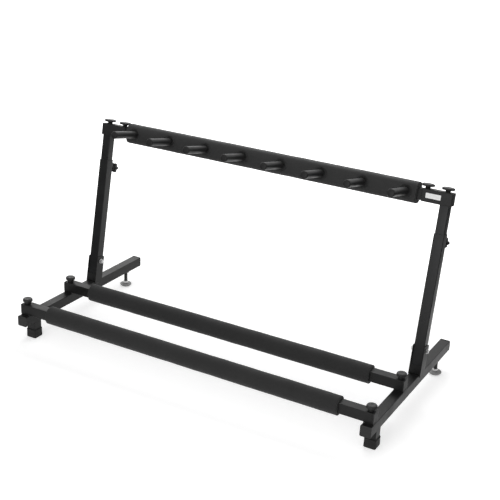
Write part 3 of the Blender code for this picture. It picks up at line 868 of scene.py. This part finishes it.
def hexagon(radius, height, angle):
    """Turns a bolt's round outline into a hexagon above its flange."""
    if height < BOLT_HEXAGON_FROM:
        return radius
    sixth = (angle % (TURN / 6)) - TURN / 12
    return min(radius, BOLT_FLATS / math.cos(sixth))


def pivot_bolts():
    """Flanged hexagon bolts with a domed head, and threads that show past the nut."""
    corner, rim = 0.0058, 0.0066
    head = eased(
        [
            (0, BOLT_HEAD),
            (corner - 0.0012, BOLT_HEAD),
            (corner, BOLT_HEAD - 0.0006),
            (corner, BOLT_FLANGE + 0.0004),
            (rim, BOLT_FLANGE),
        ],
        0.0006,
    )
    flange = eased([(rim, BOLT_FLANGE), (rim, 0.0002), (rim - 0.0004, 0), (0, 0)], 0.0003)
    outward = Matrix.Rotation(math.pi / 2, 4, "Y")
    for side, sign in both_sides():
        low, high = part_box(f"pivot_bolt_{side}")
        outer = (high.x if sign > 0 else -low.x) - BOLT_HEAD
        at = Matrix.Translation((sign * outer, PIVOT.y, PIVOT.z)) @ outward
        if sign < 0:
            at = at @ Matrix.Rotation(math.pi, 4, "Y")
        mesh = turned(head + flange, steps=96, shaped=hexagon)
        bolt = piece(f"bolt_head_{side}", mesh, ZINC, "base", at, smooth_under=32)
        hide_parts(f"pivot_bolt_{side}")
        shank = threaded(radius=0.003, bottom=-BOLT_SHANK, top=0.0005, pitch=0.001)
        piece(f"bolt_shank_{side}", shank, ZINC, "base", at)


# Trim


def weld_bead(name, start, end, radius, body):
    """A rippled fillet of weld between two points."""
    along = end - start
    sides = 14
    ripple = 0.0022
    spacing = 0.0005
    count = max(6, round(along.length / spacing))
    turn = Vector((0, 0, 1)).rotation_difference(along)
    rings = []
    for row in range(count + 1):
        share = row / count
        taper = min(1.0, 6 * min(share, 1 - share)) ** 0.5
        wave = 1 + 0.13 * math.sin(TURN * share * along.length / ripple)
        reach = radius * taper * wave
        ring = []
        for step in range(sides):
            angle = TURN * step / sides
            offset = Vector((reach * math.cos(angle), reach * math.sin(angle), 0))
            ring.append(start + along * share + turn @ offset)
        rings.append(ring)
    return piece(name, skin(rings), WELD, body)


def welds():
    """Beads along the feet of the hinge cheeks and the bar pads."""
    pad_edge, pad_half = 0.0120, 0.010
    cheek_edge, cheek_length = 0.0136, 0.026
    for side, sign in both_sides():
        for edge, outward in (("outer", sign), ("inner", -sign)):
            pad_x = sign * LEG_X + outward * pad_edge
            for row, y in (("front", BAR_FRONT_Y), ("rear", BAR_REAR_Y)):
                start = Vector((pad_x, y - pad_half, LEG_TOP + 0.0002))
                end = Vector((pad_x, y + pad_half, LEG_TOP + 0.0002))
                weld_bead(f"pad_weld_{row}_{edge}_{side}", start, end, 0.0011, "base")
            cheek_x = sign * LEG_X + outward * cheek_edge
            foot = Vector((cheek_x, PIVOT.y - 0.0240, LEG_TOP - 0.0063))
            top = foot + Vector((0, cheek_length, 0))
            weld_bead(f"cheek_weld_{edge}_{side}", foot, top, 0.0013, "base")


def blank_sticker():
    """A small blank label on the front of the right corner."""
    outline = rounded_rectangle(STICKER_WIDTH, STICKER_HEIGHT, 0.0013)
    front = -STICKER_FRONT - STICKER_THICKNESS
    back = -STICKER_FRONT
    rings = [
        [Vector((0, front, 0))] * len(outline),
        [Vector((point.x, front, point.y)) for point in outline],
        [Vector((point.x, back, point.y)) for point in outline],
        [Vector((0, back, 0))] * len(outline),
    ]
    at = LEANING @ Matrix.Translation((STICKER_ALONG, 0, RAIL_UP + 0.0006))
    piece("blank_sticker", skin(rings), LABEL, "head", at, smooth_under=30)


# Studio


def studio_floor():
    """A white paper sweep that keeps a soft shadow. To the camera it is white without end.

    The glow is only for what the camera, metal and glass see. It is weaker near the rack, where it
    would wash out the shadow.
    """
    n = Nodes("studio_floor")
    tree = n.tree
    tree.nodes.remove(n.shader)
    rays = tree.nodes.new("ShaderNodeLightPath")
    camera = rays.outputs["Is Camera Ray"]
    across = n.add("ShaderNodeSeparateXYZ", {"Vector": n.place}).outputs["X"]
    beside = n.math("ABSOLUTE", across, 0.0)
    paper = n.span(beside, PAPER_HALF - PAPER_FADE, PAPER_HALF + PAPER_FADE, 1.0, 0.0)
    white = n.math("MAXIMUM", camera, paper)
    seen = n.math("MAXIMUM", camera, rays.outputs["Is Glossy Ray"])
    seen = n.math("MAXIMUM", seen, rays.outputs["Is Transmission Ray"])
    shade = n.mix(white, grey(FLOOR_SHADE), grey(PAPER_SHADE))
    matt = n.add("ShaderNodeBsdfDiffuse", {"Color": shade})
    away = n.add("ShaderNodeVectorMath", {0: n.place}, operation="LENGTH").outputs["Value"]
    lift = n.span(away, LIFT_NEAR, LIFT_FAR, FLOOR_LIFT, 1.0)
    strength = n.math("MULTIPLY", n.math("MULTIPLY", seen, white), lift)
    glow = n.add("ShaderNodeEmission", {"Color": grey(1), "Strength": strength})
    both = n.add("ShaderNodeAddShader", {0: matt.outputs[0], 1: glow.outputs[0]})
    tree.links.new(both.outputs[0], tree.nodes["Material Output"].inputs["Surface"])
    bpy.ops.mesh.primitive_plane_add(size=40, location=(0, 0, -0.0002))
    floor = bpy.context.object
    floor.name = "studio_floor"
    floor.data.materials.append(n.material)


def studio_world():
    """White for what the camera, metal and glass see. As light, a dim room with a brighter front."""
    world = bpy.data.worlds.new("studio")
    bpy.context.scene.world = world
    world.use_nodes = True
    tree = world.node_tree
    back = tree.nodes["Background"]
    rays = tree.nodes.new("ShaderNodeLightPath")
    place = tree.nodes.new("ShaderNodeTexCoord")
    toward = tree.nodes.new("ShaderNodeVectorMath")
    toward.operation = "DOT_PRODUCT"
    tree.links.new(place.outputs["Generated"], toward.inputs[0])
    toward.inputs[1].default_value = Vector(ROOM_BRIGHT_SIDE).normalized()
    dim = tree.nodes.new("ShaderNodeMapRange")
    dim.interpolation_type = "SMOOTHSTEP"
    dim.inputs["From Min"].default_value = -0.4
    dim.inputs["From Max"].default_value = 0.9
    dim.inputs["To Min"].default_value = ROOM_DIM
    dim.inputs["To Max"].default_value = ROOM_BRIGHT
    tree.links.new(toward.outputs["Value"], dim.inputs["Value"])
    seen = rays.outputs["Is Camera Ray"]
    for kind in ("Is Glossy Ray", "Is Transmission Ray"):
        either = tree.nodes.new("ShaderNodeMath")
        either.operation = "MAXIMUM"
        tree.links.new(seen, either.inputs[0])
        tree.links.new(rays.outputs[kind], either.inputs[1])
        seen = either.outputs[0]
    pick = tree.nodes.new("ShaderNodeMix")
    tree.links.new(seen, pick.inputs["Factor"])
    tree.links.new(dim.outputs["Result"], pick.inputs["A"])
    pick.inputs["B"].default_value = 1.0
    back.inputs["Color"].default_value = grey(1)
    tree.links.new(pick.outputs["Result"], back.inputs["Strength"])


def softbox(name, place, aim, width, height, power):
    light = bpy.data.lights.new(name, "AREA")
    light.shape = "RECTANGLE"
    light.size = width
    light.size_y = height
    light.energy = power
    obj = bpy.data.objects.new(name, light)
    obj.location = place
    direction = Vector(aim) - Vector(place)
    obj.rotation_euler = direction.to_track_quat("-Z", "Y").to_euler()
    bpy.context.scene.collection.objects.link(obj)


def photograph_camera():
    camera = bpy.data.cameras.new("camera")
    camera.lens = CAMERA_LENS
    camera.sensor_width = 36
    camera.clip_end = 60
    obj = bpy.data.objects.new("camera", camera)
    turn = CAMERA_FORWARD.to_track_quat("-Z", "Y").to_matrix().to_4x4()
    roll = Matrix.Rotation(CAMERA_ROLL, 4, "Z")
    obj.matrix_world = Matrix.Translation(CAMERA_PLACE) @ turn @ roll
    bpy.context.scene.collection.objects.link(obj)
    bpy.context.scene.camera = obj


bar_sleeves()
rail_sleeve()
peg_sleeves()
clamp_knobs()
height_knobs()
top_knobs()
levelling_feet()
foot_caps()
pivot_bolts()
welds()
blank_sticker()
dress_solids()

studio_floor()
studio_world()
softbox("top_softbox", (-0.3, 1.7, 2.3), aim=(0, 0, 0.2), width=1.8, height=1.2, power=27)
softbox("back_softbox", (-1.9, 2.3, 1.25), aim=(0, 0, 0.3), width=1.5, height=1.1, power=9)
softbox("front_softbox", (0.2, -1.7, 0.6), aim=(0.2, 0, 0.4), width=0.7, height=0.7, power=6)
photograph_camera()

bpy.context.scene.view_settings.view_transform = "Standard"
